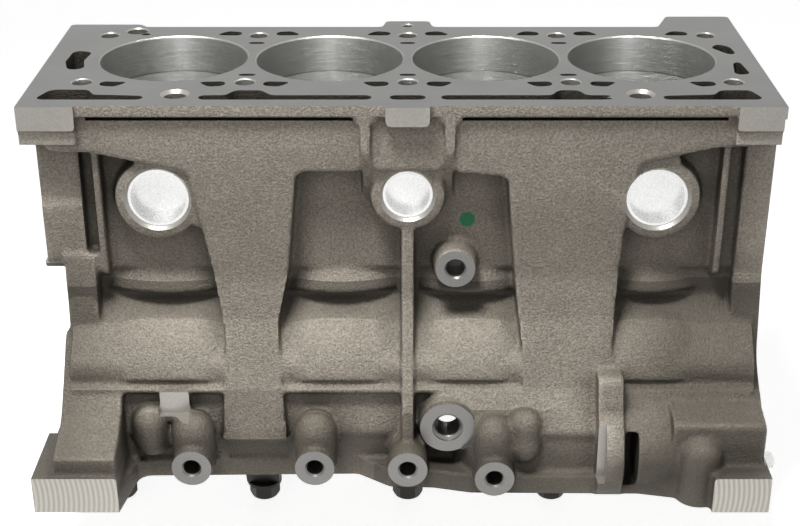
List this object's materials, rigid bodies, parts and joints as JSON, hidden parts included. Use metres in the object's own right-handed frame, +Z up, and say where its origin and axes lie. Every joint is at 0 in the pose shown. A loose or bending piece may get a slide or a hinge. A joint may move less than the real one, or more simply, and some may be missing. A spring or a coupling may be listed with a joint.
{
  "type": "engine cylinder block",
  "caption": "Inline engine cylinder block, cast in grey iron, with machined deck, bolted main bearing caps and pressed-in core plugs.",
  "frame": {"origin": "crank axis at the centre main bearing", "axes": "+X along the crank to the gearbox end, +Z up the cylinder bores, -Y to the side that the picture shows"},
  "size_m": [0.4075, 0.245, 0.267],
  "materials": {
    "cast_iron": "sand cast, bare, machined on its faces",
    "cap_iron": "dark cast iron, machined seats",
    "bolt_steel": "blackened steel",
    "plug_steel": "bright pressed steel",
    "small_steel": "plain turned steel"
  },
  "bodies": {
    "root": {"coolant_drain_plug": "small_steel", "core_plug_far_centre": "plug_steel", "core_plug_far_gearbox": "plug_steel", "core_plug_far_timing": "plug_steel", "core_plug_gearbox_end": "plug_steel", "core_plug_near_centre": "plug_steel", "core_plug_near_gearbox": "plug_steel", "core_plug_near_timing": "plug_steel", "core_plug_timing_end": "plug_steel", "cylinder_block": "cast_iron", "gearbox_dowels": "small_steel", "main_bearing_cap_1": "cap_iron", "main_bearing_cap_2": "cap_iron", "main_bearing_cap_3": "cap_iron", "main_bearing_cap_4": "cap_iron", "main_bearing_cap_5": "cap_iron", "main_cap_bolts": "bolt_steel", "main_cap_sleeves": "small_steel", "oil_gallery_plug_gearbox_end": "small_steel", "oil_gallery_plug_timing_end": "small_steel"}
  },
  "joints": []
}
